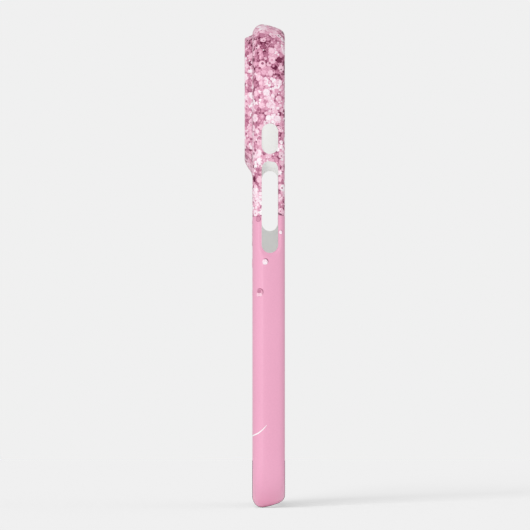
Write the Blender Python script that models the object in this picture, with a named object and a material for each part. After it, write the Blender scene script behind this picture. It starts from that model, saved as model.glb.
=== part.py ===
"""Slim clip-on phone case: one moulded hard shell under a printed film, glitter above and pink below.

The case stands upright: X is its width, +Y its back, -Y its open screen side and +Z its top.
The origin is the middle of the flat inner face that the phone's back rests on.
All sizes are in metres. An inset is a distance in from the outermost outline of the case.
"""

import math

import bmesh
import bpy
from mathutils import Vector
from mathutils.geometry import interpolate_bezier

# The phone that the pocket is made for
PHONE_WIDTH = 0.0715
PHONE_LENGTH = 0.1467
PHONE_DEPTH = 0.0078
PHONE_CLEARANCE = 0.00015

# Walls, lip and pocket
SIDE_WALL = 0.0024
BACK_WALL = 0.0015
LIP_DEPTH = 0.0009
LIP_OVERHANG = 0.0018
LIP_LEAD_IN = 0.0002
POCKET_RADIUS = 0.0110
COVE_IN = 0.0021
COVE_DEEP = 0.0005

HALF_WIDTH = PHONE_WIDTH / 2 + PHONE_CLEARANCE + SIDE_WALL
HALF_LENGTH = PHONE_LENGTH / 2 + PHONE_CLEARANCE + SIDE_WALL
CORNER_RADIUS = POCKET_RADIUS + SIDE_WALL
BACK_Y = BACK_WALL
LIP_Y = -PHONE_DEPTH
FRONT_Y = LIP_Y - LIP_DEPTH
LIP_INSET = SIDE_WALL + LIP_OVERHANG

# The outside of the wall: rounded at the front, slanting in towards the front, rounded at the back
FRONT_FLAT_INSET = 0.0039
SLANT_Y = -0.0068
SLANT_INSET = 0.0014
SLANT_POWER = 1.5
BACK_ROUND_IN = 0.0034
BACK_ROUND_DEEP = 0.0031
WIDEST_Y = BACK_Y - BACK_ROUND_DEEP

# Camera guard, raised on the back; x and z are its edges at the foot and on the flat top
GUARD_HEIGHT = 0.0025
GUARD_FOOT_X = (-0.0065, 0.0353)
GUARD_FOOT_Z = (0.0281, 0.0736)
GUARD_TOP_X = (-0.0040, 0.0337)
GUARD_TOP_Z = (0.0337, 0.0720)
GUARD_FOOT_RADIUS = 0.0104
GUARD_RIM = 0.0013
GUARD_TOP_RADIUS = 0.0088

# Openings in the side walls: (low z, high z) of each round-ended slot
SLOT_WIDTH = 0.0052
SLOT_Y = -0.0040
MUTE_Z = (0.0350, 0.0446)
VOLUME_Z = (0.0040, 0.0329)
POWER_Z = (0.0111, 0.0304)
PORT_LENGTH = 0.0440

# Printed film on the outside, and what is laid on it
FILM = 0.00012
FILM_GAP = 0.00005
ZONE_GAP = 0.0001
ZONE_Z = 0.0155
DRIP_DEPTH = 0.0050
DRIP_PITCH = 0.0160
TRIM_GAP = 0.00008
TRIM_DEPTH = 0.00020
FLOURISH_WIDTH = 0.00055

CORNER_STEPS = 9
PAST = 0.0010

# Falling sequins: name, distance round from the middle of the back towards -X, height, radius
SEQUINS = (
    ("pearl_sequin_side", 0.04085, 0.0012, 0.00100),
    ("rose_sequin_side", 0.03900, -0.0085, 0.00135),
    ("fleck_sequin_side", 0.04610, 0.0105, 0.00065),
    ("rose_sequin_back_left", 0.02300, 0.0010, 0.00120),
    ("pearl_sequin_back_left", 0.01100, -0.0085, 0.00090),
    ("rose_sequin_back_mid", -0.00250, 0.0005, 0.00135),
    ("fleck_sequin_back_mid", -0.00900, -0.0135, 0.00060),
    ("pearl_sequin_back_right", -0.02450, -0.0040, 0.00110),
    ("rose_sequin_far_side", -0.04050, 0.0045, 0.00110),
)

# Centre line of the flourish: distance round towards -X, and height
FLOURISH_LINE = (
    (-0.0180, -0.0491),
    (-0.0235, -0.0478),
    (-0.0262, -0.0516),
    (-0.0215, -0.0556),
    (-0.0080, -0.0544),
    (0.0060, -0.0504),
    (0.0180, -0.0516),
    (0.0280, -0.0532),
    (0.0350, -0.0533),
    (0.0380, -0.0527),
    (0.0394, -0.0519),
    (0.0405, -0.0509),
    (0.0414, -0.0499),
)


def clear_scene():
    for item in list(bpy.data.objects):
        bpy.data.objects.remove(item, do_unlink=True)


def material(name, colour, roughness):
    made = bpy.data.materials.new(name)
    made.use_nodes = True
    shader = made.node_tree.nodes["Principled BSDF"]
    shader.inputs["Base Color"].default_value = (*colour, 1.0)
    shader.inputs["Roughness"].default_value = roughness
    shader.inputs["Metallic"].default_value = 0.0
    return made


def rounded_rectangle(low_x, high_x, low_z, high_z, radius):
    """(x, z) points round a rectangle with arcs for corners, the same number whatever its size."""
    centres = (
        (high_x - radius, high_z - radius),
        (low_x + radius, high_z - radius),
        (low_x + radius, low_z + radius),
        (high_x - radius, low_z + radius),
    )
    points = []
    for corner, (x, z) in enumerate(centres):
        for step in range(CORNER_STEPS + 1):
            angle = math.pi / 2 * (corner + step / CORNER_STEPS)
            points.append((x + radius * math.cos(angle), z + radius * math.sin(angle)))
    return points


def case_ring(inset, y):
    """The case's outline, moved in by inset, at depth y."""
    width = HALF_WIDTH - inset
    length = HALF_LENGTH - inset
    outline = rounded_rectangle(-width, width, -length, length, CORNER_RADIUS - inset)
    return [Vector((x, y, z)) for x, z in outline]


def object_from(name, mesh_builder):
    mesh_builder.normal_update()
    bmesh.ops.recalc_face_normals(mesh_builder, faces=mesh_builder.faces)
    mesh = bpy.data.meshes.new(name)
    mesh_builder.to_mesh(mesh)
    mesh_builder.free()
    made = bpy.data.objects.new(name, mesh)
    bpy.context.scene.collection.objects.link(made)
    return made


def loft(name, rings):
    """A closed solid through rings of the same number of points, capped at both ends."""
    builder = bmesh.new()
    loops = [[builder.verts.new(point) for point in ring] for ring in rings]
    count = len(loops[0])
    for lower, upper in zip(loops, loops[1:]):
        for here in range(count):
            after = (here + 1) % count
            builder.faces.new((lower[here], lower[after], upper[after], upper[here]))
    builder.faces.new(loops[0])
    builder.faces.new(loops[-1])
    return object_from(name, builder)


def combine(base, tool, operation):
    """Applies a Boolean of tool to base, and removes tool."""
    modifier = base.modifiers.new(operation.lower(), "BOOLEAN")
    modifier.operation = operation
    modifier.solver = "EXACT"
    modifier.object = tool
    evaluated = base.evaluated_get(bpy.context.evaluated_depsgraph_get())
    mesh = bpy.data.meshes.new_from_object(evaluated)
    base.modifiers.remove(modifier)
    base.data = mesh
    bpy.data.objects.remove(tool, do_unlink=True)


def outer_profile():
    """(inset, y) down the outside of the wall, from the lip's flat front to the flat of the back."""
    slope = SLANT_POWER * SLANT_INSET / (WIDEST_Y - SLANT_Y)
    reach = 0.0009
    corners = (
        Vector((FRONT_FLAT_INSET, FRONT_Y)),
        Vector((FRONT_FLAT_INSET - 0.0013, FRONT_Y)),
        Vector((SLANT_INSET + slope * reach, SLANT_Y - reach)),
        Vector((SLANT_INSET, SLANT_Y)),
    )
    points = [tuple(point) for point in interpolate_bezier(*corners, 6)]
    for step in range(1, 5):
        part = step / 5
        depth = SLANT_Y + (WIDEST_Y - SLANT_Y) * part
        points.append((SLANT_INSET * (1 - part) ** SLANT_POWER, depth))
    for step in range(8):
        angle = math.pi / 2 * step / 7
        inset = BACK_ROUND_IN * (1 - math.cos(angle))
        points.append((inset, WIDEST_Y + BACK_ROUND_DEEP * math.sin(angle)))
    return points


def moved_in(profile, distance):
    """A profile moved into the wall by distance; its ends lie on the flat front and back."""
    ends = {0: Vector((0, 1)), len(profile) - 1: Vector((0, -1))}
    moved = []
    for index, point in enumerate(profile):
        if index in ends:
            inward = ends[index]
        else:
            along = Vector(profile[index + 1]) - Vector(profile[index - 1])
            inward = Vector((along.y, -along.x)).normalized()
        moved.append(tuple(Vector(point) + inward * distance))
    return moved


def guard(depth_in):
    """The raised camera guard, each face moved in by depth_in, reaching down into the back wall."""
    steps = 8

    def ring(part, y):
        low_x = GUARD_FOOT_X[0] + (GUARD_TOP_X[0] - GUARD_FOOT_X[0]) * part + depth_in
        high_x = GUARD_FOOT_X[1] + (GUARD_TOP_X[1] - GUARD_FOOT_X[1]) * part - depth_in
        low_z = GUARD_FOOT_Z[0] + (GUARD_TOP_Z[0] - GUARD_FOOT_Z[0]) * part + depth_in
        high_z = GUARD_FOOT_Z[1] + (GUARD_TOP_Z[1] - GUARD_FOOT_Z[1]) * part - depth_in
        radius = GUARD_FOOT_RADIUS + (GUARD_TOP_RADIUS - GUARD_FOOT_RADIUS) * part - depth_in
        outline = rounded_rectangle(low_x, high_x, low_z, high_z, radius)
        return [Vector((x, y, z)) for x, z in outline]

    rings = [ring(0, BACK_Y - PAST)]
    for step in range(steps + 1):
        part = step / steps
        rise = part * part * (3 - 2 * part)
        rings.append(ring(part, BACK_Y - depth_in + GUARD_HEIGHT * rise))
    return loft("guard", rings)


def outer_form(name, depth_in):
    """The whole outside of the case as a solid, moved in by depth_in."""
    profile = outer_profile()
    if depth_in:
        profile = moved_in(profile, depth_in)
    form = loft(name, [case_ring(inset, y) for inset, y in profile])
    combine(form, guard(depth_in), "UNION")
    return form


def pocket():
    """What the phone fills: the mouth inside the lip, the pocket, and the cove round its floor."""
    profile = [
        (LIP_INSET - LIP_LEAD_IN, FRONT_Y - PAST),
        (LIP_INSET - LIP_LEAD_IN, FRONT_Y + FILM),
        (LIP_INSET, LIP_Y),
        (SIDE_WALL, LIP_Y),
        (SIDE_WALL, -COVE_DEEP),
    ]
    for step in range(1, 4):
        angle = math.pi / 2 * step / 3
        inset = SIDE_WALL + COVE_IN * (1 - math.cos(angle))
        profile.append((inset, -COVE_DEEP * (1 - math.sin(angle))))
    return loft("pocket", [case_ring(inset, y) for inset, y in profile])


def mouth():
    """Clears the film from the front inside the lip's flat."""
    inset = LIP_INSET - LIP_LEAD_IN - FILM
    return loft("mouth", [case_ring(inset, FRONT_Y - PAST), case_ring(inset, FRONT_Y + PAST)])


def window(wider):
    """Camera window through the back and its guard."""
    low_x, high_x = GUARD_TOP_X[0] + GUARD_RIM, GUARD_TOP_X[1] - GUARD_RIM
    low_z, high_z = GUARD_TOP_Z[0] + GUARD_RIM, GUARD_TOP_Z[1] - GUARD_RIM
    outline = rounded_rectangle(
        low_x - wider, high_x + wider, low_z - wider, high_z + wider,
        GUARD_TOP_RADIUS - GUARD_RIM + wider,
    )
    ends = (-PAST, BACK_Y + GUARD_HEIGHT + PAST)
    return loft("window", [[Vector((x, y, z)) for x, z in outline] for y in ends])


def pill_outline(length, wider):
    """(along, y) points of a round-ended slot about its middle."""
    radius = SLOT_WIDTH / 2 + wider
    straight = length / 2 - SLOT_WIDTH / 2
    steps = 10
    points = []
    for side, shift in ((0, straight), (1, -straight)):
        for step in range(steps + 1):
            angle = math.pi * (side + step / steps) - math.pi / 2
            points.append((shift + radius * math.cos(angle), SLOT_Y + radius * math.sin(angle)))
    return points


def side_slot(z_span, side, wider):
    """A slot cutter through the wall at -X (side -1) or +X (side 1)."""
    middle = (z_span[0] + z_span[1]) / 2
    outline = pill_outline(z_span[1] - z_span[0], wider)
    ends = (side * (HALF_WIDTH - LIP_INSET), side * (HALF_WIDTH + PAST))
    return loft("slot", [[Vector((x, y, middle + along)) for along, y in outline] for x in ends])


def port_slot(wider):
    """Cutter for the slot in the bottom wall that leaves the plug and the speakers free."""
    outline = pill_outline(PORT_LENGTH, wider)
    ends = (-HALF_LENGTH - PAST, -HALF_LENGTH + LIP_INSET)
    return loft("port", [[Vector((along, y, z)) for along, y in outline] for z in ends])


def cut_openings(target, wider):
    combine(target, window(wider), "DIFFERENCE")
    combine(target, side_slot(MUTE_Z, -1, wider), "DIFFERENCE")
    combine(target, side_slot(VOLUME_Z, -1, wider), "DIFFERENCE")
    combine(target, side_slot(POWER_Z, 1, wider), "DIFFERENCE")
    combine(target, port_slot(wider), "DIFFERENCE")


def zone_edge(x):
    """Height of the line between glitter and pink: level at the sides, dripping across the back."""
    reach = HALF_WIDTH - BACK_ROUND_IN
    fade = max(0.0, 1 - (x / reach) ** 2)
    wave = 0.5 + 0.5 * math.cos(2 * math.pi * x / DRIP_PITCH)
    return ZONE_Z - DRIP_DEPTH * fade * wave


def zone(above):
    """Everything above or below the line between the two printed zones, with a small gap at it."""
    steps = 36
    far_x = HALF_WIDTH + PAST
    far_z = (HALF_LENGTH + PAST) if above else -(HALF_LENGTH + PAST)
    gap = ZONE_GAP / 2 if above else -ZONE_GAP / 2
    line = [-far_x + 2 * far_x * step / steps for step in range(steps + 1)]
    outline = [(x, zone_edge(x) + gap) for x in line] + [(far_x, far_z), (-far_x, far_z)]
    ends = (FRONT_Y - PAST, BACK_Y + GUARD_HEIGHT + PAST)
    return loft("zone", [[Vector((x, y, z)) for x, z in outline] for y in ends])


def hard_shell():
    shell = outer_form("hard_shell", FILM + FILM_GAP)
    combine(shell, pocket(), "DIFFERENCE")
    cut_openings(shell, 0.0)
    return shell


def printed_film(name, above):
    film = outer_form(name, 0.0)
    combine(film, outer_form("inside", FILM), "DIFFERENCE")
    combine(film, mouth(), "DIFFERENCE")
    cut_openings(film, FILM)
    combine(film, zone(above), "INTERSECT")
    return film


def round_the_back(distance):
    """Place and outward normal on the outside, this far round from the middle of the back to -X."""
    line = [Vector((0.0, BACK_Y))]
    line += [Vector((-(HALF_WIDTH - inset), y)) for inset, y in reversed(outer_profile())]
    left = abs(distance)
    for start, end in zip(line, line[1:]):
        along = end - start
        if left <= along.length:
            break
        left -= along.length
    place = start + along.normalized() * left
    outward = Vector((along.y, -along.x)).normalized()
    sign = 1 if distance >= 0 else -1
    return Vector((sign * place.x, place.y)), Vector((sign * outward.x, outward.y))


def on_film(distance, z, lift):
    place, outward = round_the_back(distance)
    raised = place + outward * lift
    return Vector((raised.x, raised.y, z)), Vector((outward.x, outward.y, 0.0))


def sequin(name, distance, z, radius):
    """A thin round sequin with a bevelled rim, lying on the film."""
    centre, outward = on_film(distance, z, TRIM_GAP)
    side = outward.cross(Vector((0, 0, 1))).normalized()
    sides = 14
    rings = []
    for scale, lift in ((1.0, 0.0), (1.0, TRIM_DEPTH * 0.5), (0.8, TRIM_DEPTH)):
        ring = []
        for step in range(sides):
            angle = 2 * math.pi * step / sides
            across = side * math.cos(angle) + Vector((0, 0, 1)) * math.sin(angle)
            ring.append(centre + outward * lift + across * radius * scale)
        rings.append(ring)
    return loft(name, rings)


def smooth_line(points, steps):
    """A Catmull-Rom curve through points, with steps spans between neighbours."""
    padded = [points[0], *points, points[-1]]
    line = []
    for before, start, end, after in zip(padded, padded[1:], padded[2:], padded[3:]):
        for step in range(steps):
            t = step / steps
            line.append(tuple(
                0.5 * (2 * b + (c - a) * t + (2 * a - 5 * b + 4 * c - d) * t * t
                       + (3 * b - a - 3 * c + d) * t ** 3)
                for a, b, c, d in zip(before, start, end, after)
            ))
    return [*line, points[-1]]


def flourish():
    """One flowing line across the back, wrapping onto the side, thin at its ends."""
    line = smooth_line(FLOURISH_LINE, 6)
    last = len(line) - 1
    rings = []
    for index, (distance, z) in enumerate(line):
        before = line[max(index - 1, 0)]
        after = line[min(index + 1, last)]
        along = Vector((after[0] - before[0], after[1] - before[1])).normalized()
        swell = math.sin(math.pi * (index + 1.5) / (last + 3)) ** 0.5
        half = FLOURISH_WIDTH / 2 * swell
        ring = []
        for across, lift in ((-half, 0.0), (half, 0.0), (half, TRIM_DEPTH), (-half, TRIM_DEPTH)):
            point, _ = on_film(distance - along.y * across, z + along.x * across, TRIM_GAP + lift)
            ring.append(point)
        rings.append(ring)
    return loft("white_flourish", rings)


def shade_smooth(item):
    item.data.shade_smooth()
    item.data.set_sharp_from_angle(angle=math.radians(35))


def finish_piece(item, skin):
    item.data.materials.clear()
    item.data.materials.append(skin)
    for face in item.data.polygons:
        face.material_index = 0
    shade_smooth(item)


def build():
    clear_scene()
    white_plastic = material("white_polycarbonate", (0.86, 0.86, 0.84), 0.42)
    glitter = material("glitter_print", (0.66, 0.36, 0.50), 0.25)
    pink = material("pink_print", (0.83, 0.38, 0.54), 0.32)
    white_ink = material("white_print", (0.95, 0.90, 0.92), 0.30)
    pearl = material("pearl_sequin", (0.96, 0.86, 0.90), 0.20)
    rose = material("rose_sequin", (0.84, 0.48, 0.62), 0.20)

    finish_piece(hard_shell(), white_plastic)
    finish_piece(printed_film("glitter_film", True), glitter)
    finish_piece(printed_film("pink_film", False), pink)
    finish_piece(flourish(), white_ink)
    for name, distance, z, radius in SEQUINS:
        skin = rose if name.startswith("rose") else pearl
        finish_piece(sequin(name, distance, z, radius), skin)


build()
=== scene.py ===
# Looks of the phone case: a satin white moulding under a gloss print of glitter and pink.
#
# Every size is in metres, in the CAD's frame: X is the width, +Y the back and +Z the top.
# An inset is a distance in from the case's outermost outline.

import math
import random

import bmesh
import bpy
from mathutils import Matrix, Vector, noise
from mathutils.bvhtree import BVHTree
from mathutils.geometry import interpolate_bezier


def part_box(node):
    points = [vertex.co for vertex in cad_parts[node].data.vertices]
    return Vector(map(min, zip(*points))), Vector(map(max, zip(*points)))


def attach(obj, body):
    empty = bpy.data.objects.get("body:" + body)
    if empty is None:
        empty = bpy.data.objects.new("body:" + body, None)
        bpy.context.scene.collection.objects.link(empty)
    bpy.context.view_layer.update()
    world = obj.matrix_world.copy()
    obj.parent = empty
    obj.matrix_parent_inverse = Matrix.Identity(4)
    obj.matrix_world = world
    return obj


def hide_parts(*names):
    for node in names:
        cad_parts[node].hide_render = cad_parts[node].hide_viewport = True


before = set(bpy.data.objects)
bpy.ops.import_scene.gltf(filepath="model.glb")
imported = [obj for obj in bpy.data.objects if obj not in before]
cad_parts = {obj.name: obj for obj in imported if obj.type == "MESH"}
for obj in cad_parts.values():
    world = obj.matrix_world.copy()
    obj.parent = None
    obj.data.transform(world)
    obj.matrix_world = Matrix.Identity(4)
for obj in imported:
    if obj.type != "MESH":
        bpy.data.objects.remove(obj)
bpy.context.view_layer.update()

# The outside, read from the frame
FILM_LOW, FILM_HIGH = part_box("pink_film")
GUARD_TOP_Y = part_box("glitter_film")[1].y
HALF_WIDTH = FILM_HIGH.x
HALF_LENGTH = -FILM_LOW.z
BACK_Y = FILM_HIGH.y
FRONT_Y = FILM_LOW.y
FLOOR_Z = FILM_LOW.z

# Walls, pocket and outline, as in the CAD
SIDE_WALL = 0.0024
LIP_Y = -0.0078
LIP_INSET = 0.0042
LIP_LEAD_IN = 0.0002
CORNER_RADIUS = 0.0134
COVE_IN = 0.0021
COVE_DEEP = 0.0005
FRONT_FLAT_INSET = 0.0039
SLANT_Y = -0.0068
SLANT_INSET = 0.0014
SLANT_POWER = 1.5
BACK_ROUND_IN = 0.0034
BACK_ROUND_DEEP = 0.0031
WIDEST_Y = BACK_Y - BACK_ROUND_DEEP

# How far the curve of the front edge pulls along the flat front, and along the wall
FRONT_PULL = 0.0013
WALL_PULL = 0.0009

# Small edges round the lip: the depth of its lead-in, its broken inner edge, and the corner under it
LEAD_IN_DEEP = 0.00025
EDGE_BREAK = 0.0001
UNDER_LIP = 0.0003

# Camera guard: x and z of its edges at the foot and on the flat top
GUARD_FOOT_X = (-0.0065, 0.0353)
GUARD_FOOT_Z = (0.0281, 0.0736)
GUARD_TOP_X = (-0.0040, 0.0337)
GUARD_TOP_Z = (0.0337, 0.0720)
GUARD_FOOT_RADIUS = 0.0104
GUARD_TOP_RADIUS = 0.0088
GUARD_RIM = 0.0013

# Slots: each runs along one wall at SLOT_Y, from low to high
SLOT_WIDTH = 0.0052
SLOT_Y = -0.0040
MUTE_Z = (0.0350, 0.0446)
VOLUME_Z = (0.0040, 0.0329)
POWER_Z = (0.0111, 0.0304)
PORT_X = (-0.0220, 0.0220)

# The finger scoop round each slot: how deep it is at the slot, and how far it reaches from it
SCOOP_DEEP = 0.00042
SCOOP_REACH = 0.00125

# The print: the glitter's ground is sunk a little so that its flakes end at the CAD's outside
GLITTER_SINK = 0.00010
PINK_SINK = 0.00001
SHELL_IN = 0.00017
SKIN_GAP = 0.00002

# The line between glitter and pink: its height, its slope across the side, and the drips on the back
ZONE_Z = 0.0157
ZONE_TILT = 0.0004
DRIP_DEPTH = 0.0050
DRIP_PITCH = 0.0160

# Flakes: FOOTING is how far a flake's rim goes below the ground. A flake over WIDE_FLAKE in radius has
# more rings where it bends, and edges over LONG_EDGE are divided there.
FLAKE_THICK = 0.00002
FOOTING = 0.00001
WIDE_FLAKE = 0.00032
LONG_EDGE = 0.00050
NEARLY_FLAT = 0.9995
PIECE_FACES = 70000

# Layers of the glitter: name, spacing against the radii, tries, least and most radius, least and most
# height, and least shade
FLAKE_LAYERS = (
    ("glitter_flakes_low", 0.64, 14000, 0.00080, 0.00150, 0.000020, 0.000035, 0.0),
    ("glitter_flakes_high", 0.74, 14000, 0.00050, 0.00120, 0.000042, 0.000056, 0.0),
    ("glitter_flakes_pale", 1.70, 1500, 0.00100, 0.00150, 0.000058, 0.000062, 0.72),
    ("glitter_bits", 1.45, 7000, 0.00022, 0.00050, 0.000070, 0.000075, 0.0),
)

# Shades run from dark 0 to white 1: the middle, what clusters add, and the spread from flake to flake
SHADE_MIDDLE = 0.60
CLUSTER_SWING = 0.26
SHADE_SPREAD = 0.22

# Where the glitter runs dark: centre, reach and strength
DARK_PATCHES = (
    ((-0.0050, 0.0030, 0.0690), 0.0065, 0.26),
    ((-0.0360, 0.0010, 0.0700), 0.0040, 0.22),
    ((-0.0375, -0.0068, 0.0625), 0.0034, 0.34),
    ((-0.0380, -0.0010, 0.0483), 0.0020, 0.32),
    ((-0.0378, -0.0065, 0.0400), 0.0016, 0.30),
    ((-0.0380, -0.0045, 0.0335), 0.0020, 0.20),
)

# Flakes that fall from the glitter onto the pink: tries, the share kept at the line, and the drop over
# which that share falls to about a third
FALLING_TRIES = 2600
FALLING_SHARE = 0.55
FALLING_DROP = 0.0035

# How finely the outline is divided, and how far a cutter goes past what it cuts
CORNER_STEPS = 22
SIDE_STEPS = 300
END_STEPS = 110
PAST = 0.0010

# Trim: name, distance round from the middle of the back towards -X, height, radius
SEQUINS = (
    ("pearl_sequin_side", 0.04085, 0.0012, 0.00100),
    ("rose_sequin_side", 0.03900, -0.0085, 0.00135),
    ("fleck_sequin_side", 0.04610, 0.0105, 0.00065),
    ("rose_sequin_back_left", 0.02300, 0.0010, 0.00120),
    ("pearl_sequin_back_left", 0.01100, -0.0085, 0.00090),
    ("rose_sequin_back_mid", -0.00250, 0.0005, 0.00135),
    ("fleck_sequin_back_mid", -0.00900, -0.0135, 0.00060),
    ("pearl_sequin_back_right", -0.02450, -0.0040, 0.00110),
    ("rose_sequin_far_side", -0.04050, 0.0045, 0.00110),
)
FLOURISH_LINE = (
    (-0.0180, -0.0491),
    (-0.0235, -0.0478),
    (-0.0262, -0.0516),
    (-0.0215, -0.0556),
    (-0.0080, -0.0544),
    (0.0060, -0.0504),
    (0.0180, -0.0516),
    (0.0280, -0.0532),
    (0.0350, -0.0533),
    (0.0380, -0.0527),
    (0.0394, -0.0519),
    (0.0405, -0.0509),
    (0.0414, -0.0499),
)
FLOURISH_WIDTH = 0.00050

# Marks on the side at the zone line, as (distance, height): a loose flake, and a short dark line
LAST_SIDE_FLAKE = (0.0386, 0.0147)
EDGE_LINE = (
    (0.0451, 0.0164),
    (0.0462, 0.0160),
    (0.0476, 0.0157),
)
EDGE_LINE_WIDTH = 0.00046

# Studio: the camera is level and looks at the -X side, as in the photo
CAMERA_AWAY = 3.0
FRAME_SPAN = 0.16586
SENSOR = 36.0
VIEW_CENTRE_Y = -0.00245
VIEW_CENTRE_Z = 0.00023

# The backdrop's grey, the light from all round, and a floor that glows a little, like a light table,
# and reaches past the end of the key light's shadow
BACKDROP = 0.871
AMBIENT = 0.565
FLOOR_REACH = 0.7
FLOOR_GLOW = 0.14

# Softboxes: name, azimuth, elevation, distance, size and power; azimuth 0 is in front of the screen
# side, and -90 is at -X
SOFTBOXES = (
    ("key", -110, 24, 2.0, 0.8, 15.6),
    ("low_fill", -88, 1, 1.2, 0.14, 0.48),
)


# ---------------------------------------------------------------- shapes


def smooth(value):
    """0 to 1 with soft ends."""
    value = min(max(value, 0.0), 1.0)
    return value * value * (3 - 2 * value)


def rounded_rectangle(low_x, high_x, low_z, high_z, radius, side_steps=1, end_steps=1):
    """(x, z) points round a rectangle with arcs for corners and evenly divided sides."""
    centres = (
        (high_x - radius, high_z - radius),
        (low_x + radius, high_z - radius),
        (low_x + radius, low_z + radius),
        (high_x - radius, low_z + radius),
    )
    points = []
    for corner, (x, z) in enumerate(centres):
        for step in range(CORNER_STEPS + 1):
            angle = math.pi / 2 * (corner + step / CORNER_STEPS)
            points.append((x + radius * math.cos(angle), z + radius * math.sin(angle)))
        after = centres[(corner + 1) % 4]
        turn = math.pi / 2 * (corner + 1)
        end = (after[0] + radius * math.cos(turn), after[1] + radius * math.sin(turn))
        start = points[-1]
        steps = end_steps if corner % 2 == 0 else side_steps
        for step in range(1, steps):
            part = step / steps
            points.append(tuple(a + (b - a) * part for a, b in zip(start, end)))
    return points


def slot_scoop(along, y, span):
    """How deep the finger scoop round a slot is, at a place on its wall."""
    middle = (span[0] + span[1]) / 2
    straight = (span[1] - span[0] - SLOT_WIDTH) / 2
    past_end = max(abs(along - middle) - straight, 0.0)
    clear = math.hypot(past_end, y - SLOT_Y) - SLOT_WIDTH / 2
    return SCOOP_DEEP * (1 - smooth(clear / SCOOP_REACH))


def scooped(point):
    """A point of the outside, moved in where a scoop is."""
    if point.x < -HALF_WIDTH + LIP_INSET:
        point.x += max(slot_scoop(point.z, point.y, span) for span in (MUTE_Z, VOLUME_Z))
    elif point.x > HALF_WIDTH - LIP_INSET:
        point.x -= slot_scoop(point.z, point.y, POWER_Z)
    if point.z < -HALF_LENGTH + LIP_INSET:
        point.z += slot_scoop(point.x, point.y, PORT_X)
    return point


def case_ring(inset, y, with_scoops=False):
    """The case's outline moved in by inset, at one depth."""
    width = HALF_WIDTH - inset
    length = HALF_LENGTH - inset
    outline = rounded_rectangle(
        -width, width, -length, length, CORNER_RADIUS - inset, SIDE_STEPS, END_STEPS
    )
    points = [Vector((x, y, z)) for x, z in outline]
    return [scooped(point) for point in points] if with_scoops else points


def object_from(name, builder):
    """An object with two material roles: 0 is kept in a print skin, and 1 is cut away from it."""
    bmesh.ops.recalc_face_normals(builder, faces=builder.faces)
    mesh = bpy.data.meshes.new(name)
    builder.to_mesh(mesh)
    builder.free()
    for role in ("kept", "cut"):
        mesh.materials.append(bpy.data.materials.get(role) or bpy.data.materials.new(role))
    made = bpy.data.objects.new(name, mesh)
    bpy.context.scene.collection.objects.link(made)
    return made


def add_loft(builder, rings, role=0, cap_roles=(0, 0)):
    """Adds a closed solid through rings of the same number of points; role marks its faces."""
    loops = [[builder.verts.new(point) for point in ring] for ring in rings]
    count = len(loops[0])
    for lower, upper in zip(loops, loops[1:]):
        for here in range(count):
            after = (here + 1) % count
            face = builder.faces.new((lower[here], lower[after], upper[after], upper[here]))
            face.material_index = role
    builder.faces.new(loops[0]).material_index = cap_roles[0]
    builder.faces.new(loops[-1]).material_index = cap_roles[1]


def loft(name, rings, role=0, cap_roles=(0, 0)):
    builder = bmesh.new()
    add_loft(builder, rings, role, cap_roles)
    return object_from(name, builder)


def apply_modifier(item, kind, **settings):
    """Runs one modifier on an object and keeps its result as the mesh."""
    modifier = item.modifiers.new(kind.lower(), kind)
    for name, value in settings.items():
        setattr(modifier, name, value)
    evaluated = item.evaluated_get(bpy.context.evaluated_depsgraph_get())
    mesh = bpy.data.meshes.new_from_object(evaluated)
    item.modifiers.remove(modifier)
    item.data = mesh


def combine(base, tool, operation):
    apply_modifier(base, "BOOLEAN", operation=operation, solver="EXACT", object=tool)
    bpy.data.objects.remove(tool, do_unlink=True)


def outer_profile(front_steps=10, slant_steps=15, back_steps=14):
    """(inset, y) down the outside of the wall, from the lip's flat front to the flat of the back."""
    slope = SLANT_POWER * SLANT_INSET / (WIDEST_Y - SLANT_Y)
    corners = (
        Vector((FRONT_FLAT_INSET, FRONT_Y)),
        Vector((FRONT_FLAT_INSET - FRONT_PULL, FRONT_Y)),
        Vector((SLANT_INSET + slope * WALL_PULL, SLANT_Y - WALL_PULL)),
        Vector((SLANT_INSET, SLANT_Y)),
    )
    points = [tuple(point) for point in interpolate_bezier(*corners, front_steps)]
    for step in range(1, slant_steps):
        part = step / slant_steps
        depth = SLANT_Y + (WIDEST_Y - SLANT_Y) * part
        points.append((SLANT_INSET * (1 - part) ** SLANT_POWER, depth))
    for step in range(back_steps + 1):
        angle = math.pi / 2 * step / back_steps
        inset = BACK_ROUND_IN * (1 - math.cos(angle))
        points.append((inset, WIDEST_Y + BACK_ROUND_DEEP * math.sin(angle)))
    return points


def moved_in(profile, distance):
    """A profile moved into the wall by distance; its ends stay on the flats, which move too."""
    ends = {0: Vector((0, 1)), len(profile) - 1: Vector((0, -1))}
    moved = []
    for index, point in enumerate(profile):
        if index in ends:
            inward = ends[index]
        else:
            along = Vector(profile[index + 1]) - Vector(profile[index - 1])
            inward = Vector((along.y, -along.x)).normalized()
        moved.append(tuple(Vector(point) + inward * distance))
    return moved


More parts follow.
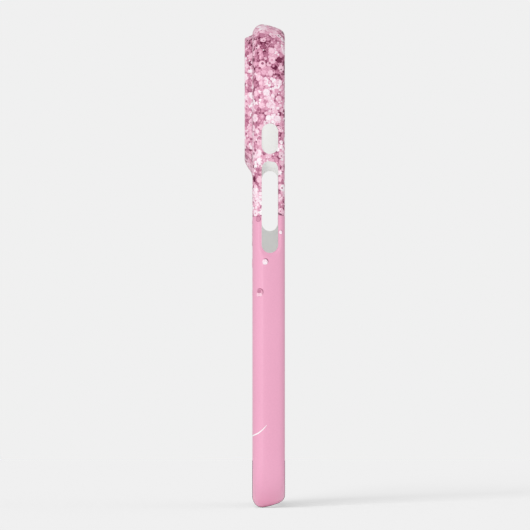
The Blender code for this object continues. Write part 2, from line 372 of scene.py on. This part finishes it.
def guard(depth_in):
    """The raised camera guard: steep at its top and sides, a soft slope along its foot."""
    steps = 18

    def ring(part, y):
        low_x = GUARD_FOOT_X[0] + (GUARD_TOP_X[0] - GUARD_FOOT_X[0]) * part + depth_in
        high_x = GUARD_FOOT_X[1] + (GUARD_TOP_X[1] - GUARD_FOOT_X[1]) * part - depth_in
        low_z = GUARD_FOOT_Z[0] + (GUARD_TOP_Z[0] - GUARD_FOOT_Z[0]) * part + depth_in
        high_z = GUARD_FOOT_Z[1] + (GUARD_TOP_Z[1] - GUARD_FOOT_Z[1]) * part - depth_in
        radius = GUARD_FOOT_RADIUS + (GUARD_TOP_RADIUS - GUARD_FOOT_RADIUS) * part - depth_in
        outline = rounded_rectangle(low_x, high_x, low_z, high_z, radius)
        return [Vector((x, y, z)) for x, z in outline]

    rings = [ring(0, BACK_Y - PAST)]
    for step in range(steps + 1):
        part = step / steps
        rise = (GUARD_TOP_Y - BACK_Y) * smooth(part)
        rings.append(ring(part, BACK_Y - depth_in + rise))
    return loft("guard", rings)


def outer_form(name, depth_in):
    """The whole outside as a solid; the open front's cap is marked as cut."""
    profile = moved_in(outer_profile(), depth_in)
    rings = [case_ring(inset, y, with_scoops=True) for inset, y in profile]
    form = loft(name, rings, cap_roles=(1, 0))
    combine(form, guard(depth_in), "UNION")
    return form


def pill(length, wider=0.0):
    """(along, across) points of a round-ended slot."""
    radius = SLOT_WIDTH / 2 + wider
    straight = (length - SLOT_WIDTH) / 2
    steps = 28
    points = []
    for side, shift in ((0, straight), (1, -straight)):
        for step in range(steps + 1):
            angle = math.pi * (side + step / steps) - math.pi / 2
            points.append((shift + radius * math.cos(angle), radius * math.sin(angle)))
    return points


def openings():
    """One cutter for the camera window and the four slots; all its faces are marked as cut."""
    builder = bmesh.new()
    outline = rounded_rectangle(
        GUARD_TOP_X[0] + GUARD_RIM, GUARD_TOP_X[1] - GUARD_RIM,
        GUARD_TOP_Z[0] + GUARD_RIM, GUARD_TOP_Z[1] - GUARD_RIM,
        GUARD_TOP_RADIUS - GUARD_RIM,
    )
    ends = (-PAST, GUARD_TOP_Y + PAST)
    add_loft(builder, [[Vector((x, y, z)) for x, z in outline] for y in ends], 1, (1, 1))
    for side, (low, high) in ((-1, MUTE_Z), (-1, VOLUME_Z), (1, POWER_Z)):
        outline = pill(high - low)
        ends = (side * (HALF_WIDTH - LIP_INSET), side * (HALF_WIDTH + PAST))
        middle = (low + high) / 2
        add_loft(
            builder,
            [[Vector((x, SLOT_Y + y, middle + z)) for z, y in outline] for x in ends], 1, (1, 1),
        )
    ends = (-HALF_LENGTH - PAST, -HALF_LENGTH + LIP_INSET)
    outline = pill(PORT_X[1] - PORT_X[0])
    add_loft(builder, [[Vector((x, SLOT_Y + y, z)) for x, y in outline] for z in ends], 1, (1, 1))
    return object_from("openings", builder)


def pocket():
    """What the phone fills: the mouth inside the lip, the pocket, and the cove round its floor."""
    profile = [
        (LIP_INSET - LIP_LEAD_IN - GLITTER_SINK, FRONT_Y - PAST),
        (LIP_INSET - LIP_LEAD_IN - GLITTER_SINK, FRONT_Y + SHELL_IN),
        (LIP_INSET - LIP_LEAD_IN / 4, FRONT_Y + SHELL_IN + LEAD_IN_DEEP),
        (LIP_INSET, LIP_Y - EDGE_BREAK),
        (LIP_INSET - EDGE_BREAK, LIP_Y),
        (SIDE_WALL + UNDER_LIP, LIP_Y + EDGE_BREAK),
        (SIDE_WALL, LIP_Y + EDGE_BREAK + UNDER_LIP),
        (SIDE_WALL, -COVE_DEEP),
    ]
    steps = 8
    for step in range(1, steps + 1):
        angle = math.pi / 2 * step / steps
        inset = SIDE_WALL + COVE_IN * (1 - math.cos(angle))
        profile.append((inset, -COVE_DEEP * (1 - math.sin(angle))))
    return loft("pocket", [case_ring(inset, y) for inset, y in profile])


def zone_edge(x):
    """Height of the line between glitter and pink: level at the sides, dripping across the back."""
    reach = HALF_WIDTH - BACK_ROUND_IN
    fade = max(0.0, 1 - (x / reach) ** 2)
    wave = 0.5 + 0.5 * math.cos(2 * math.pi * x / DRIP_PITCH)
    return ZONE_Z - DRIP_DEPTH * fade * wave


def zone(above):
    """All the space above or below the line between glitter and pink."""
    steps = 120
    far_x = HALF_WIDTH + PAST
    far_z = (HALF_LENGTH + PAST) if above else -(HALF_LENGTH + PAST)
    line = [-far_x + 2 * far_x * step / steps for step in range(steps + 1)]
    rings = []
    for y, tilt in ((FRONT_Y - PAST, ZONE_TILT), (BACK_Y, -ZONE_TILT), (GUARD_TOP_Y + PAST, -ZONE_TILT)):
        outline = [(x, zone_edge(x) + tilt) for x in line] + [(far_x, far_z), (-far_x, far_z)]
        rings.append([Vector((x, y, z)) for x, z in outline])
    return loft("zone", rings, 1, (1, 1))


def keep_role(item, role):
    """Deletes the faces that aren't marked with role."""
    builder = bmesh.new()
    builder.from_mesh(item.data)
    others = [face for face in builder.faces if face.material_index != role]
    bmesh.ops.delete(builder, geom=others, context="FACES")
    bmesh.ops.dissolve_degenerate(builder, dist=1e-7, edges=builder.edges)
    builder.to_mesh(item.data)
    builder.free()


def print_skin(name, above):
    """One zone of the print, as an open sheet on the outside."""
    skin = outer_form(name, GLITTER_SINK if above else PINK_SINK)
    combine(skin, openings(), "DIFFERENCE")
    combine(skin, zone(above), "INTERSECT")
    keep_role(skin, 0)
    return skin


def round_the_back(distance):
    """Place and outward normal on the print, this far round from the middle of the back to -X."""
    line = [Vector((0.0, BACK_Y - PINK_SINK))]
    profile = moved_in(outer_profile(), PINK_SINK)
    line += [Vector((-(HALF_WIDTH - inset), y)) for inset, y in reversed(profile)]
    left = abs(distance)
    for start, end in zip(line, line[1:]):
        along = end - start
        if left <= along.length:
            break
        left -= along.length
    place = start + along.normalized() * left
    outward = Vector((along.y, -along.x)).normalized()
    sign = 1 if distance >= 0 else -1
    return Vector((sign * place.x, place.y)), Vector((sign * outward.x, outward.y))


def on_print(distance, z, lift):
    """A point raised by lift over the print, at a distance round from the middle of the back."""
    place, outward = round_the_back(distance)
    raised = place + outward * lift
    return Vector((raised.x, raised.y, z))


def smooth_line(points, steps):
    """A Catmull-Rom curve through points, with steps spans between neighbours."""
    padded = [points[0], *points, points[-1]]
    line = []
    for before, start, end, after in zip(padded, padded[1:], padded[2:], padded[3:]):
        for step in range(steps):
            t = step / steps
            line.append(tuple(
                0.5 * (2 * b + (c - a) * t + (2 * a - 5 * b + 4 * c - d) * t * t
                       + (3 * b - a - 3 * c + d) * t ** 3)
                for a, b, c, d in zip(before, start, end, after)
            ))
    return [*line, points[-1]]


def ribbon(name, points, width, steps, low, high):
    """A thin raised line on the print, along (distance, height) points, thin at its ends."""
    line = smooth_line(points, steps)
    last = len(line) - 1
    rings = []
    for index, (distance, z) in enumerate(line):
        before = line[max(index - 1, 0)]
        after = line[min(index + 1, last)]
        along = Vector((after[0] - before[0], after[1] - before[1])).normalized()
        half = width / 2 * math.sin(math.pi * (index + 1.5) / (last + 3)) ** 0.5
        section = (
            (-half, low), (-half, high * 0.7), (-half * 0.6, high),
            (half * 0.6, high), (half, high * 0.7), (half, low),
        )
        rings.append([
            on_print(distance - along.y * across, z + along.x * across, lift)
            for across, lift in section
        ])
    return loft(name, rings)


# ---------------------------------------------------------------- glitter


class Sheet:
    """The print's outside, to lay flakes on."""

    def __init__(self, items):
        self.points, self.faces = [], []
        for item in items:
            start = len(self.points)
            self.points += [vertex.co.copy() for vertex in item.data.vertices]
            item.data.calc_loop_triangles()
            for triangle in item.data.loop_triangles:
                self.faces.append(tuple(start + index for index in triangle.vertices))
        self.tree = BVHTree.FromPolygons(self.points, self.faces)

    def nearest(self, point):
        place, outward, _, _ = self.tree.find_nearest(point)
        return place, outward

    def scatter(self, rng, count):
        """Random points spread evenly over the area, each with its outward direction."""
        sums, total = [], 0.0
        for a, b, c in self.faces:
            pa, pb, pc = self.points[a], self.points[b], self.points[c]
            total += (pb - pa).cross(pc - pa).length / 2
            sums.append(total)
        targets = sorted(rng.random() * total for _ in range(count))
        found, index = [], 0
        for target in targets:
            while sums[index] < target:
                index += 1
            pa, pb, pc = (self.points[corner] for corner in self.faces[index])
            u, v = rng.random(), rng.random()
            if u + v > 1:
                u, v = 1 - u, 1 - v
            outward = (pb - pa).cross(pc - pa).normalized()
            found.append((pa + (pb - pa) * u + (pc - pa) * v, outward))
        rng.shuffle(found)
        return found


class Spacing:
    """Says whether a new round spot keeps clear of earlier ones, in its own cell and those next to it."""

    cell = 0.0018

    def __init__(self, share):
        self.share = share
        self.spots = {}

    def fits(self, point, radius):
        key = tuple(int(math.floor(value / self.cell)) for value in point)
        around = (
            (key[0] + i, key[1] + j, key[2] + k)
            for i in (-1, 0, 1) for j in (-1, 0, 1) for k in (-1, 0, 1)
        )
        for near in around:
            for other, size in self.spots.get(near, ()):
                if (other - point).length < self.share * (radius + size):
                    return False
        self.spots.setdefault(key, []).append((point, radius))
        return True


class Flakes:
    """Many small flat flakes in one mesh, each with its own shade from dark 0 to white 1."""

    def __init__(self, sheet):
        self.sheet = sheet
        self.points, self.faces, self.shades = [], [], []

    def add(self, centre, outward, radius, sides, turn, lift, shade, outline=0.20, border=0.14):
        """One flake that follows the surface: a top, a darker sloping border, and an underside."""
        across = outward.orthogonal().normalized()
        up = outward.cross(across)
        corners = []
        for step in range(sides):
            angle = turn + 2 * math.pi * step / sides
            corners.append((across * math.cos(angle) + up * math.sin(angle)) * radius)
        curved = any(
            self.sheet.nearest(centre + corner)[1].dot(outward) < NEARLY_FLAT for corner in corners
        )
        cuts = 1
        reaches = [(1.0, -lift - FOOTING), (1.0, FLAKE_THICK / 2), (1 - border, FLAKE_THICK)]
        if curved:
            cuts = math.ceil((corners[1] - corners[0]).length / LONG_EDGE)
            reaches += [(0.58, FLAKE_THICK), (0.28, FLAKE_THICK)] if radius > WIDE_FLAKE else []
        outline_points = [
            corners[here].lerp(corners[(here + 1) % sides], cut / cuts)
            for here in range(sides) for cut in range(cuts)
        ]
        count = len(outline_points)
        first = len(self.points)
        for reach, rise in reaches:
            for arm in outline_points:
                place, out = self.sheet.nearest(centre + arm * reach)
                raised = place + out * (lift + rise)
                raised.y = max(raised.y, FRONT_Y)
                self.points.append(raised)
        rings = [[first + count * ring + step for step in range(count)] for ring in range(len(reaches))]
        for level, (lower, upper) in enumerate(zip(rings, rings[1:])):
            for here in range(count):
                after = (here + 1) % count
                self.faces.append((lower[here], lower[after], upper[after], upper[here]))
                self.shades.append(shade if level > 1 else max(shade - outline, 0.0))
        self.faces.append(tuple(rings[-1]))
        self.faces.append(tuple(reversed(rings[0])))
        self.shades += [shade, shade]

    def make(self, name):
        mesh = bpy.data.meshes.new(name)
        mesh.from_pydata([tuple(point) for point in self.points], [], self.faces)
        mesh.attributes.new("shade", "FLOAT", "FACE").data.foreach_set("value", self.shades)
        made = bpy.data.objects.new(name, mesh)
        bpy.context.scene.collection.objects.link(made)
        return made


def cluster(point):
    """A slowly varying number, about -1 to 1, that groups dark and light flakes."""
    coarse = noise.noise(point * 150 + Vector((3.1, 7.7, 1.9)))
    fine = noise.noise(point * 420 + Vector((9.4, 2.2, 5.5)))
    return 1.5 * coarse + 0.8 * fine


def flake_shade(rng, point):
    """A random shade, darker in the dark patches."""
    value = SHADE_MIDDLE + CLUSTER_SWING * cluster(point) + rng.gauss(0.0, SHADE_SPREAD)
    for centre, radius, strength in DARK_PATCHES:
        value -= strength * math.exp(-((point - Vector(centre)).length / radius) ** 2)
    return min(max(value, 0.0), 1.0)


def glitter_flakes(sheet, glitter_skin):
    """Layers of flakes from the lowest and largest up to small bits and a few large pale ones."""
    rng = random.Random(11)
    zone_sheet = Sheet([glitter_skin])
    pieces = []
    for name, share, tries, small, large, low, high, least in FLAKE_LAYERS:
        flakes = Flakes(sheet)
        spacing = Spacing(share)
        for point, outward in zone_sheet.scatter(rng, tries):
            radius = small + (large - small) * rng.random() ** 1.6
            clear = point.z - zone_edge(point.x) > 0.6 * radius
            if not clear or not spacing.fits(point, radius):
                continue
            sides = 6 if rng.random() < 0.55 else 12
            shade = max(flake_shade(rng, point), least)
            lift = rng.uniform(low, high)
            flakes.add(point, outward, radius, sides, rng.random() * math.pi, lift, shade)
            if len(flakes.faces) > PIECE_FACES:
                pieces.append(flakes.make(f"{name}_{len(pieces)}"))
                flakes = Flakes(sheet)
        pieces.append(flakes.make(f"{name}_{len(pieces)}"))
    return pieces


def falling_flakes(sheet, pink_skin):
    """Loose flakes below the glitter on the back, thinning out downwards, and one on the side."""
    rng = random.Random(5)
    flakes = Flakes(sheet)
    for point, outward in Sheet([pink_skin]).scatter(rng, FALLING_TRIES):
        below = zone_edge(point.x) - point.z
        if abs(point.x) > HALF_WIDTH - BACK_ROUND_IN or point.y < 0 or below < 0:
            continue
        if rng.random() > FALLING_SHARE * math.exp(-below / FALLING_DROP):
            continue
        radius = rng.uniform(0.00025, 0.00085)
        lift = rng.uniform(0.00003, 0.00007)
        shade = rng.uniform(0.35, 1.0)
        flakes.add(point, outward, radius, rng.choice((6, 12)), rng.random() * math.pi, lift, shade)
    place = on_print(*LAST_SIDE_FLAKE, 0.0)
    flakes.add(place, sheet.nearest(place)[1], 0.00095, 12, 0.4, 0.00004, 0.40)
    return flakes.make("falling_flakes")


def sequin(name, sheet, distance, z, radius):
    """A printed sequin: a dark crescent of shade, a rimmed disc, and a highlight of two small discs."""
    flakes = Flakes(sheet)
    centre = on_print(distance, z, 0.0)
    _, outward = sheet.nearest(centre)
    rose = name.startswith("rose")
    disc, dark, gleam = (0.54, 0.24, 0.72) if rose else (0.84, 0.10, 0.95)
    up = Vector((0, 0, 1))
    side = outward.cross(up).normalized()
    shade_at = centre + (up * 0.75 - side * 0.65).normalized() * radius * 0.28
    flakes.add(shade_at, outward, radius * 0.88, 24, 0.0, 0.00002, dark, 0.0)
    flakes.add(centre, outward, radius * 0.90, 24, 0.0, 0.00005, disc, 0.04)
    if rose:
        hollow = centre + up * radius * 0.34
        flakes.add(hollow, outward, radius * 0.48, 18, 0.0, 0.00007, dark + 0.08, 0.0)
    for shift, lift in ((-0.28, 0.00009), (0.28, 0.00011)):
        spot = centre - up * radius * 0.42 + side * radius * shift
        flakes.add(spot, outward, radius * 0.42, 20, 0.0, lift, gleam, 0.0)
    return flakes.make(name + "_print")


# ---------------------------------------------------------------- materials


class Nodes:
    """A material with a Principled shader, and short calls for the nodes that feed it."""

    def __init__(self, name, roughness, coat=0.0, coat_roughness=0.1, ior=1.5):
        self.material = bpy.data.materials.new(name)
        self.material.use_nodes = True
        self.tree = self.material.node_tree
        self.shader = self.tree.nodes["Principled BSDF"]
        self.shader.inputs["Roughness"].default_value = roughness
        self.shader.inputs["Coat Weight"].default_value = coat
        self.shader.inputs["Coat Roughness"].default_value = coat_roughness
        self.shader.inputs["IOR"].default_value = ior
        self.place = self.tree.nodes.new("ShaderNodeTexCoord").outputs["Object"]

    def noise(self, scale, detail=3.0, roughness=0.5):
        node = self.tree.nodes.new("ShaderNodeTexNoise")
        node.inputs["Scale"].default_value = scale
        node.inputs["Detail"].default_value = detail
        node.inputs["Roughness"].default_value = roughness
        self.tree.links.new(self.place, node.inputs["Vector"])
        return node.outputs["Fac"]

    def ramp(self, source, stops):
        node = self.tree.nodes.new("ShaderNodeValToRGB")
        elements = node.color_ramp.elements
        while len(elements) < len(stops):
            elements.new(0.5)
        for element, (position, colour) in zip(elements, stops):
            element.position = position
            element.color = (*colour, 1.0)
        self.tree.links.new(source, node.inputs["Fac"])
        return node.outputs["Color"]

    def scale(self, source, low, high):
        node = self.tree.nodes.new("ShaderNodeMapRange")
        node.inputs["To Min"].default_value = low
        node.inputs["To Max"].default_value = high
        self.tree.links.new(source, node.inputs["Value"])
        return node.outputs["Result"]

    def mix(self, share, first, second, blend="MIX"):
        node = self.tree.nodes.new("ShaderNodeMix")
        node.data_type = "RGBA"
        node.blend_type = blend
        node.inputs["Factor"].default_value = share
        self.tree.links.new(first, node.inputs["A"])
        self.tree.links.new(second, node.inputs["B"])
        return node.outputs["Result"]

    def attribute(self, name):
        node = self.tree.nodes.new("ShaderNodeAttribute")
        node.attribute_name = name
        return node.outputs["Fac"]

    def bump(self, source, distance, strength=1.0):
        node = self.tree.nodes.new("ShaderNodeBump")
        node.inputs["Distance"].default_value = distance
        node.inputs["Strength"].default_value = strength
        self.tree.links.new(source, node.inputs["Height"])
        self.tree.links.new(node.outputs["Normal"], self.shader.inputs["Normal"])

    def feed(self, name, source):
        self.tree.links.new(source, self.shader.inputs[name])


# The flakes' colours along their shade, from plum through rose to pearl
GLITTER_STOPS = (
    (0.00, (0.150, 0.015, 0.055)),
    (0.12, (0.310, 0.075, 0.150)),
    (0.27, (0.520, 0.190, 0.300)),
    (0.42, (0.690, 0.310, 0.440)),
    (0.56, (0.830, 0.430, 0.570)),
    (0.72, (0.940, 0.610, 0.730)),
    (0.86, (0.980, 0.800, 0.880)),
    (1.00, (0.990, 0.950, 0.975)),
)


def white_plastic():
    nodes = Nodes("satin_white_polycarbonate", 0.45)
    tone = nodes.ramp(nodes.noise(60, 4), ((0.3, (0.885, 0.885, 0.870)), (0.7, (0.915, 0.915, 0.900))))
    nodes.feed("Base Color", tone)
    nodes.feed("Roughness", nodes.scale(nodes.noise(900, 2), 0.40, 0.52))
    nodes.bump(nodes.noise(2600, 2), 0.000012, 0.5)
    return nodes.material


def pink_print():
    nodes = Nodes("soft_gloss_pink_print", 0.38, coat=0.25, coat_roughness=0.18)
    broad = nodes.ramp(nodes.noise(28, 3), ((0.3, (0.835, 0.385, 0.550)), (0.7, (0.860, 0.405, 0.572))))
    grain = nodes.ramp(nodes.noise(2200, 2), ((0.35, (0.97, 0.96, 0.965)), (0.65, (1.0, 1.0, 1.0))))
    nodes.feed("Base Color", nodes.mix(1.0, broad, grain, "MULTIPLY"))
    nodes.feed("Roughness", nodes.scale(nodes.noise(700, 2), 0.34, 0.44))
    nodes.bump(nodes.noise(1500, 2), 0.000006, 0.4)
    return nodes.material


def glitter_ground():
    nodes = Nodes("glitter_ground", 0.35, coat=0.3, coat_roughness=0.12)
    tone = nodes.ramp(nodes.noise(900, 4, 0.7), (
        (0.30, (0.16, 0.025, 0.070)), (0.48, (0.46, 0.130, 0.250)), (0.62, (0.78, 0.34, 0.50)),
    ))
    nodes.feed("Base Color", tone)
    nodes.bump(nodes.noise(1800, 3), 0.00003, 0.6)
    return nodes.material


def flake_print(name):
    nodes = Nodes(name, 0.30)
    nodes.shader.inputs["Specular IOR Level"].default_value = 0.15
    tone = nodes.ramp(nodes.attribute("shade"), GLITTER_STOPS)
    mottle = nodes.ramp(nodes.noise(1300, 3, 0.6), ((0.30, (0.86, 0.80, 0.83)), (0.60, (1.0, 1.0, 1.0))))
    nodes.feed("Base Color", nodes.mix(1.0, tone, mottle, "MULTIPLY"))
    nodes.feed("Roughness", nodes.scale(nodes.attribute("shade"), 0.22, 0.42))
    return nodes.material


def white_ink():
    nodes = Nodes("white_ink", 0.32, coat=0.25)
    tone = nodes.ramp(nodes.noise(1500, 2), ((0.3, (0.94, 0.88, 0.91)), (0.7, (0.98, 0.94, 0.96))))
    nodes.feed("Base Color", tone)
    return nodes.material


def plum_ink():
    nodes = Nodes("plum_ink", 0.4)
    tone = nodes.ramp(nodes.noise(2500, 2), ((0.3, (0.10, 0.02, 0.05)), (0.7, (0.30, 0.09, 0.17))))
    nodes.feed("Base Color", tone)
    return nodes.material


def dress(item, skin, angle=35):
    """Gives a piece one material, and smooth faces with sharp edges over an angle."""
    item.data.materials.clear()
    item.data.materials.append(skin)
    for face in item.data.polygons:
        face.material_index = 0
    item.data.shade_smooth()
    item.data.set_sharp_from_angle(angle=math.radians(angle))


def place_piece(item, slot, *replaced):
    """Puts a piece on the root body, and hides the CAD nodes that it stands for. The slot is not used."""
    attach(item, "root")
    if replaced:
        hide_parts(*replaced)


# ---------------------------------------------------------------- the case


def make_shell():
    shell = outer_form("shell_moulding", SHELL_IN)
    combine(shell, pocket(), "DIFFERENCE")
    combine(shell, openings(), "DIFFERENCE")
    dress(shell, white_plastic())
    place_piece(shell, "white_polycarbonate", "hard_shell")


def make_print():
    glitter_skin = print_skin("glitter_ground_print", True)
    pink_skin = print_skin("pink_ground_print", False)
    sheet = Sheet([glitter_skin, pink_skin])
    flakes = glitter_flakes(sheet, glitter_skin)
    falling = falling_flakes(sheet, pink_skin)
    for skin, sink in ((glitter_skin, GLITTER_SINK), (pink_skin, PINK_SINK)):
        apply_modifier(skin, "SOLIDIFY", thickness=SHELL_IN - sink - SKIN_GAP, offset=-1.0)
    dress(glitter_skin, glitter_ground())
    dress(pink_skin, pink_print())
    place_piece(glitter_skin, "glitter_print", "glitter_film")
    place_piece(pink_skin, "pink_print", "pink_film")
    flake_skin = flake_print("glitter_flake_print")
    for item in (*flakes, falling):
        dress(item, flake_skin, 5)
        place_piece(item, "glitter_print")
    return sheet


def make_trim(sheet):
    flourish = ribbon("flourish_ink", FLOURISH_LINE, FLOURISH_WIDTH, 14, 0.00001, 0.00005)
    dress(flourish, white_ink())
    place_piece(flourish, "white_print", "white_flourish")
    edge = ribbon("glitter_edge_line", EDGE_LINE, EDGE_LINE_WIDTH, 8, -0.00003, 0.00001)
    dress(edge, plum_ink())
    place_piece(edge, "glitter_print")
    for name, distance, z, radius in SEQUINS:
        item = sequin(name, sheet, distance, z, radius)
        dress(item, flake_print(name + "_ink"), 20)
        place_piece(item, "rose_sequin" if name.startswith("rose") else "pearl_sequin", name)


# ---------------------------------------------------------------- studio


def make_world():
    """Plain grey as seen by the camera, and plain white light from all round."""
    scene = bpy.context.scene
    scene.view_settings.view_transform = "Standard"
    world = bpy.data.worlds.new("studio")
    scene.world = world
    world.use_nodes = True
    tree = world.node_tree
    tree.nodes.clear()
    output = tree.nodes.new("ShaderNodeOutputWorld")
    seen = tree.nodes.new("ShaderNodeBackground")
    seen.inputs["Color"].default_value = (BACKDROP, BACKDROP, BACKDROP, 1)
    lit = tree.nodes.new("ShaderNodeBackground")
    lit.inputs["Color"].default_value = (1.0, 1.0, 1.0, 1)
    lit.inputs["Strength"].default_value = AMBIENT
    path = tree.nodes.new("ShaderNodeLightPath")
    mix = tree.nodes.new("ShaderNodeMixShader")
    tree.links.new(path.outputs["Is Camera Ray"], mix.inputs["Fac"])
    tree.links.new(lit.outputs[0], mix.inputs[1])
    tree.links.new(seen.outputs[0], mix.inputs[2])
    tree.links.new(mix.outputs[0], output.inputs["Surface"])


def make_floor():
    builder = bmesh.new()
    bmesh.ops.create_grid(builder, x_segments=1, y_segments=1, size=FLOOR_REACH)
    mesh = bpy.data.meshes.new("floor")
    builder.to_mesh(mesh)
    builder.free()
    floor = bpy.data.objects.new("floor", mesh)
    floor.location = (0, 0, FLOOR_Z - 0.00005)
    floor.is_shadow_catcher = True
    bpy.context.scene.collection.objects.link(floor)
    nodes = Nodes("pale_floor", 0.8)
    tone = nodes.ramp(nodes.noise(4, 2), ((0.3, (0.94, 0.94, 0.94)), (0.7, (0.96, 0.96, 0.96))))
    nodes.feed("Base Color", tone)
    nodes.feed("Emission Color", tone)
    nodes.shader.inputs["Emission Strength"].default_value = FLOOR_GLOW
    mesh.materials.append(nodes.material)


def softbox(name, azimuth, elevation, distance, size, power):
    """A square light aimed at the case."""
    a, e = math.radians(azimuth), math.radians(elevation)
    towards = Vector((math.sin(a) * math.cos(e), -math.cos(a) * math.cos(e), math.sin(e)))
    light = bpy.data.lights.new(name, "AREA")
    light.size = size
    light.energy = power
    item = bpy.data.objects.new(name, light)
    item.location = towards * distance
    item.rotation_euler = towards.to_track_quat("Z", "Y").to_euler()
    bpy.context.scene.collection.objects.link(item)


def make_camera():
    data = bpy.data.cameras.new("camera")
    data.sensor_width = SENSOR
    data.lens = SENSOR * CAMERA_AWAY / FRAME_SPAN
    data.clip_start = 0.05
    data.clip_end = 50.0
    camera = bpy.data.objects.new("camera", data)
    camera.location = (-HALF_WIDTH - CAMERA_AWAY, VIEW_CENTRE_Y, VIEW_CENTRE_Z)
    camera.rotation_euler = (math.pi / 2, 0, -math.pi / 2)
    bpy.context.scene.collection.objects.link(camera)
    bpy.context.scene.camera = camera


make_camera()
make_world()
make_floor()
for settings in SOFTBOXES:
    softbox(*settings)
make_shell()
make_trim(make_print())
